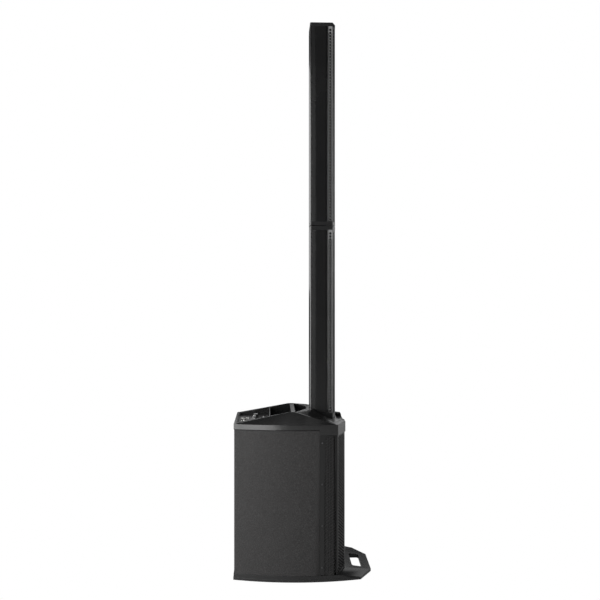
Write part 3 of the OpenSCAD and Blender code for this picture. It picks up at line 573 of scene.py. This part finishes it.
def strip(mesh, centre, size, turn):
    """Adds a flat bar with a bevelled top. size is its length, width and height in millimetres, and turn
    its angle about its centre."""
    long, wide, high = (v * MM / 2 for v in size)
    rings = []
    for share, level in ((1.0, -1), (1.0, 0.4), (0.8, 1)):
        ring = []
        for sx, sy in ((-1, -1), (1, -1), (1, 1), (-1, 1)):
            at = Vector((sx * (long - (1 - share) * wide), sy * wide * share, level * high))
            ring.append(mesh.verts.new(Matrix.Rotation(turn, 3, "Z") @ at + centre))
        rings.append(ring)
    for low, up in zip(rings, rings[1:]):
        for k in range(4):
            mesh.faces.new((low[k], low[(k + 1) % 4], up[(k + 1) % 4], up[k]))
    mesh.faces.new(rings[-1])
    mesh.faces.new(rings[0][::-1])


line_wide, ink_high = 0.5, 0.12
scale_radius, short_mark, long_mark = 11.2, 2.0, 2.8
marks = bmesh.new()
for node in knobs[:4]:
    for step in range(11):
        angle = math.radians(-60 + 30 * step)
        at = middle(node) + Vector((math.cos(angle), math.sin(angle), 0)) * scale_radius * MM
        strip(marks, at, (short_mark if step % 5 else long_mark, line_wide, ink_high), angle)
lens_low, lens_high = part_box("display_lens")
lens_x, lens_y = (lens_low.x + lens_high.x) / 2, (lens_low.y + lens_high.y) / 2
frame_long, frame_short = 69.5, 29.5
for x, y, turn in ((0, 0.5, 0), (0, -0.5, 0), (0.5, 0, math.pi / 2), (-0.5, 0, math.pi / 2)):
    at = Vector((lens_x + x * frame_long * MM, lens_y + y * frame_short * MM, panel_top))
    bar_long = (frame_short if turn else frame_long) + line_wide
    strip(marks, at, (bar_long, line_wide, ink_high), turn)
mark_data = bpy.data.meshes.new("panel_marks")
marks.to_mesh(mark_data)
shown("panel_marks", mark_data, white_ink, "subwoofer")

# ---- Connectors ----------------------------------------------------------------------------------
# Two combination jacks, each with a nickel ring and a release tab, two jack sockets held by nickel nuts,
# and a nickel-plated output connector with three pins.
nickel = grained("nickel", (0.7, 0.69, 0.67), roughness=0.2, grain=0.4, metallic=1.0, bump=0.05)
softened("combo_jacks", moulded_black, "subwoofer", radius=0.4)
jack_low, jack_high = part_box("combo_jacks")
collar = turned([(10.9, -0.4), (12.1, -0.4), (12.1, 0.7), (11.7, 1.1), (10.9, 1.1), (10.6, 0.8),
                 (10.6, -0.4), (10.9, -0.4)], segments=48)
half_flange = 13 * MM
jack_y = (jack_low.y + jack_high.y) / 2
jack_places = [Matrix.Translation((x, jack_y, jack_high.z))
               for x in (jack_low.x + half_flange, jack_high.x - half_flange)]
spread("combo_rings", collar, jack_places, nickel, "subwoofer")
for node in ("latch_tab_1", "latch_tab_2"):
    softened(node, nickel, node, radius=0.5)
line_low, line_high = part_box("line_jacks")
line_radius = (line_high.y - line_low.y) / 2
line_places = [Matrix.Translation((x, line_low.y + line_radius, panel_top))
               for x in (line_low.x + line_radius, line_high.x - line_radius)]
bushing = turned([(0, -30), (5.8, -30), (5.8, 0), (5.2, 0.1), (5.2, 3.4), (4.9, 3.8), (3.5, 3.8),
                  (3.3, 3.6), (3.3, -26), (0, -26)], segments=36)
spread("line_jack_bushings", bushing, line_places, moulded_black, "subwoofer", "line_jacks")
nut = turned([(5.3, 0.9), (7.5, 0.9), (7.5, 2.3), (6.9, 2.6), (5.3, 2.6), (5.3, 0.9)], sockets=(1, 2))
washer = turned([(5.3, 0), (8.2, 0), (8.2, 0.5), (7.9, 0.9), (5.3, 0.9), (5.3, 0)], segments=36)
spread("line_jack_nuts", nut, line_places, nickel, "subwoofer")
spread("line_jack_washers", washer, line_places, nickel, "subwoofer")
softened("link_output", nickel, "subwoofer", radius=0.5)

# ---- Display -------------------------------------------------------------------------------------
# A glossy lens of dark tinted acrylic, glued into the panel over a small screen, which is off.
# Its face is flat and its edge slightly rounded.
display_glass = grained("display_glass", (0.004, 0.006, 0.012), roughness=0.05, grain=0.4, bump=0.02)
softened("display_lens", display_glass, "subwoofer", radius=0.5)

# ---- Knobs ---------------------------------------------------------------------------------------
# Moulded knobs with fluted sides on steel shafts. Each has a satin aluminium disc let into its top and
# a white pointer; the larger encoder has finer flutes and no pointer.
knob_black = grained("knob_black", (0.01, 0.01, 0.01), roughness=0.4, grain=0.4)
satin_disc = grained("satin_disc", (0.62, 0.62, 0.62), roughness=0.25, grain=0.3, metallic=1.0, bump=0.1)


def fluted(profile, flutes, depth, segments):
    """A turned knob. profile holds (radius, height, cut) rings in millimetres; a ring's flutes go in by
    cut times depth."""
    mesh = bmesh.new()
    rings = []
    for ring_radius, height, cut in profile:
        ring = []
        for k in range(segments):
            angle = math.tau * k / segments
            r = ring_radius - cut * depth * (0.5 - 0.5 * math.cos(flutes * angle)) ** 2
            ring.append(mesh.verts.new((r * MM * math.cos(angle), r * MM * math.sin(angle), height * MM)))
        rings.append(ring)
    for low, up in zip(rings, rings[1:]):
        for k in range(segments):
            mesh.faces.new((low[k], low[(k + 1) % segments], up[(k + 1) % segments], up[k]))
    mesh.faces.new(rings[0][::-1])
    mesh.faces.new(rings[-1])
    return mesh


for node in knobs:
    low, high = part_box(node)
    width, tall = (high.x - low.x) / 2 / MM, (high.z - panel_top) / MM
    big = node == "menu_encoder"
    flutes, flute_depth = (36, 0.5) if big else (15, 0.9)
    seat = [Matrix.Translation(middle(node))]
    sides = [(width - 0.3, 0.8, 0), (width, 1.2, 0), (width, 2.2, 0), (width * 0.9, 3.4, 0),
             (width * 0.86, 4.0, 1), (width * 0.82, tall - 1.4, 1), (width * 0.80, tall - 0.7, 0.8),
             (width * 0.74, tall - 0.1, 0), (width * 0.66, tall, 0), (width * 0.62, tall - 0.5, 0)]
    spread(node + "_body", fluted(sides, flutes, flute_depth, segments=180), seat, knob_black, node, node)
    disc = turned([(0, tall - 0.7), (width * 0.62, tall - 0.7), (width * 0.62, tall - 0.25),
                   (width * 0.58, tall - 0.12), (0, tall - 0.1)], segments=48)
    spread(node + "_disc", disc, seat, satin_disc, node)
    stem = turned([(0, -12), (2.9, -12), (2.9, 1.5), (0, 1.5)])
    spread(node + "_shaft", stem, seat, nickel, node)
    if not big:
        pointer = bmesh.new()
        pointer_at = middle(node) + Vector((0, width * 0.45 * MM, tall * MM))
        strip(pointer, pointer_at, (width * 0.75, 1.0, 0.5), math.pi / 2)
        pointer_data = bpy.data.meshes.new(node + "_pointer")
        pointer.to_mesh(pointer_data)
        shown(node + "_pointer", pointer_data, white_ink, node)

# ---- Buttons -------------------------------------------------------------------------------------
# Two push buttons moulded in soft grey rubber, beside the display. They come up through holes in the
# panel and have well rounded edges.
button_grey = grained("button_grey", (0.22, 0.22, 0.22), roughness=0.5, grain=0.4)
for node in ("button_1", "button_2"):
    softened(node, button_grey, node, radius=0.9, steps=3)

# ---- Panel screws --------------------------------------------------------------------------------
# Four small black oxide steel screws with pan heads and hexagon sockets. They hold the mixer panel down
# at its corners.
small_head = turned([(0, -1.8), (1.35, -1.8), (1.35, 0), (3.0, 0), (3.0, 0.6), (2.6, 1.2), (2.0, 1.4),
                     (1.3, 1.4), (1.3, 0.5), (0, 0.4)], sockets=(8,))
small_radius = 3 * MM
corner_low, corner_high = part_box("panel_screws")
corner_places = [Matrix.Translation((x, y, panel_top))
                 for x in (corner_low.x + small_radius, corner_high.x - small_radius)
                 for y in (corner_low.y + small_radius, corner_high.y - small_radius)]
spread("panel_screw_heads", small_head, corner_places, black_oxide, "subwoofer", "panel_screws")

# ---- Column modules ------------------------------------------------------------------------------
# Each module is a black anodised extrusion with a folded, punched grille let in at the front, lined with
# black cloth, and a moulded cap at each end. The lower one's spigot plugs into the top cap.
anodised = grained("anodised", (0.004, 0.004, 0.0041), roughness=0.22, grain=0.5, mottle=0.1, bump=0.05)
column_coat = grained("column_coat", (0.15, 0.15, 0.15), roughness=0.35, grain=0.5, bump=0.12)
column_bend, slant_deep, face_half = 0.0015, 0.011, 0.0215
lining_inset, lining_slant, lining_half, lining_gauge = 0.0028, 0.0121, 0.021, 0.6 * MM
thirds = (0, 0.33, 0.67, 1)
for module in ("lower", "upper"):
    body = module + "_module"
    softened(module + "_housing", anodised, body, radius=0.5)
    for end in ("_foot_cap", "_head_cap"):
        softened(module + end, moulded_black, body, radius=0.8)
    low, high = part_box(module + "_grille")
    front, split, half = low.y, high.y, high.x
    side_corner, face_corner = (-half, front + slant_deep), (-face_half, front)
    slant = (Vector(face_corner) - Vector(side_corner)).normalized()
    left = [(-half, split)]
    left += rounded_fold(side_corner, Vector((0, -1)), slant, column_bend, thirds)
    left += rounded_fold(face_corner, slant, Vector((1, 0)), column_bend, thirds)
    path = left + [(-x, y) for x, y in reversed(left)]
    last = len(path) - 1
    spans = [(0, 1), (4, 5), (8, 9), (last - 5, last - 4), (last - 1, last)]
    sheet = punched_sheet(module + "_grille_sheet", path, low.z, high.z, spans,
                          pitch=0.011, column=0.00953, open_share=0.82, edge=0.0006)
    thickened(shown(module + "_grille_sheet", sheet, column_coat, body, module + "_grille"), gauge=0.0012)
    lining = [(lining_inset - half, split - MM), (lining_inset - half, front + lining_slant),
              (-lining_half, front + lining_inset)]
    lining += [(-x, y) for x, y in reversed(lining)]
    band(module + "_grille_cloth", lining, low.z + MM, high.z - MM, lining_gauge, foam_black, body)
    dress(module + "_baffle", foam_black)
    dress(module + "_driver_frames", basket_black)
    dress(module + "_driver_cones", pressed_paper)
